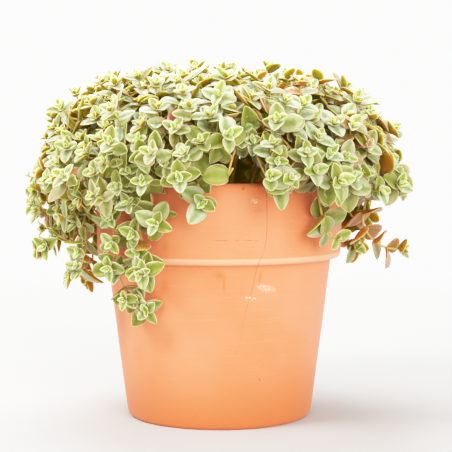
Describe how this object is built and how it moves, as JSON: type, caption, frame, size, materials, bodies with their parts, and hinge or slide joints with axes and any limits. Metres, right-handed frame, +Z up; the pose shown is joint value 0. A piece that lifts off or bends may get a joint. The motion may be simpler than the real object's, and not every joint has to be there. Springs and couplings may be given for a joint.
{
  "type": "potted crassula",
  "caption": "Bushy trailing crassula with small fleshy pointed leaves in crossed pairs, in a plain terracotta pot with a deep rim and a drain hole.",
  "frame": {"origin": "centre of the pot's base, on the surface it stands on", "axes": "+Z up; -Y towards the viewer of the picture; +X to the viewer's right"},
  "size_m": [0.2673, 0.2713, 0.2441],
  "materials": {
    "terracotta": "fired unglazed clay, matt",
    "potting_mix": "crumbly dark potting mix, matt",
    "crassula_leaf": "fleshy leaf with a waxy bloom, satin"
  },
  "bodies": {
    "root": {"pot": "terracotta", "potting_mix": "potting_mix", "leafy_stem_01": "crassula_leaf", "leafy_stem_02": "crassula_leaf", "leafy_stem_03": "crassula_leaf", "leafy_stem_04": "crassula_leaf", "leafy_stem_05": "crassula_leaf", "leafy_stem_06": "crassula_leaf", "leafy_stem_07": "crassula_leaf", "leafy_stem_08": "crassula_leaf", "leafy_stem_09": "crassula_leaf", "leafy_stem_10": "crassula_leaf", "leafy_stem_11": "crassula_leaf", "leafy_stem_12": "crassula_leaf", "leafy_stem_13": "crassula_leaf", "leafy_stem_14": "crassula_leaf", "leafy_stem_15": "crassula_leaf", "leafy_stem_16": "crassula_leaf", "leafy_stem_17": "crassula_leaf", "leafy_stem_18": "crassula_leaf", "leafy_stem_19": "crassula_leaf", "leafy_stem_20": "crassula_leaf", "leafy_stem_21": "crassula_leaf", "leafy_stem_22": "crassula_leaf", "leafy_stem_23": "crassula_leaf", "leafy_stem_24": "crassula_leaf", "leafy_stem_25": "crassula_leaf", "leafy_stem_26": "crassula_leaf", "leafy_stem_27": "crassula_leaf", "leafy_stem_28": "crassula_leaf", "leafy_stem_29": "crassula_leaf", "leafy_stem_30": "crassula_leaf", "leafy_stem_31": "crassula_leaf", "leafy_stem_32": "crassula_leaf", "trailing_stem_left_long": "crassula_leaf", "trailing_stem_left_rosette": "crassula_leaf", "trailing_stem_front_left": "crassula_leaf", "trailing_stem_front": "crassula_leaf", "trailing_stem_front_right": "crassula_leaf", "trailing_stem_large_leaves": "crassula_leaf", "trailing_stem_far_right": "crassula_leaf", "trailing_stem_left_hanging": "crassula_leaf", "trailing_stem_left_low": "crassula_leaf", "trailing_stem_right_back": "crassula_leaf", "trailing_stem_back_right": "crassula_leaf", "trailing_stem_back_left": "crassula_leaf", "trailing_stem_left_back": "crassula_leaf"}
  },
  "joints": []
}
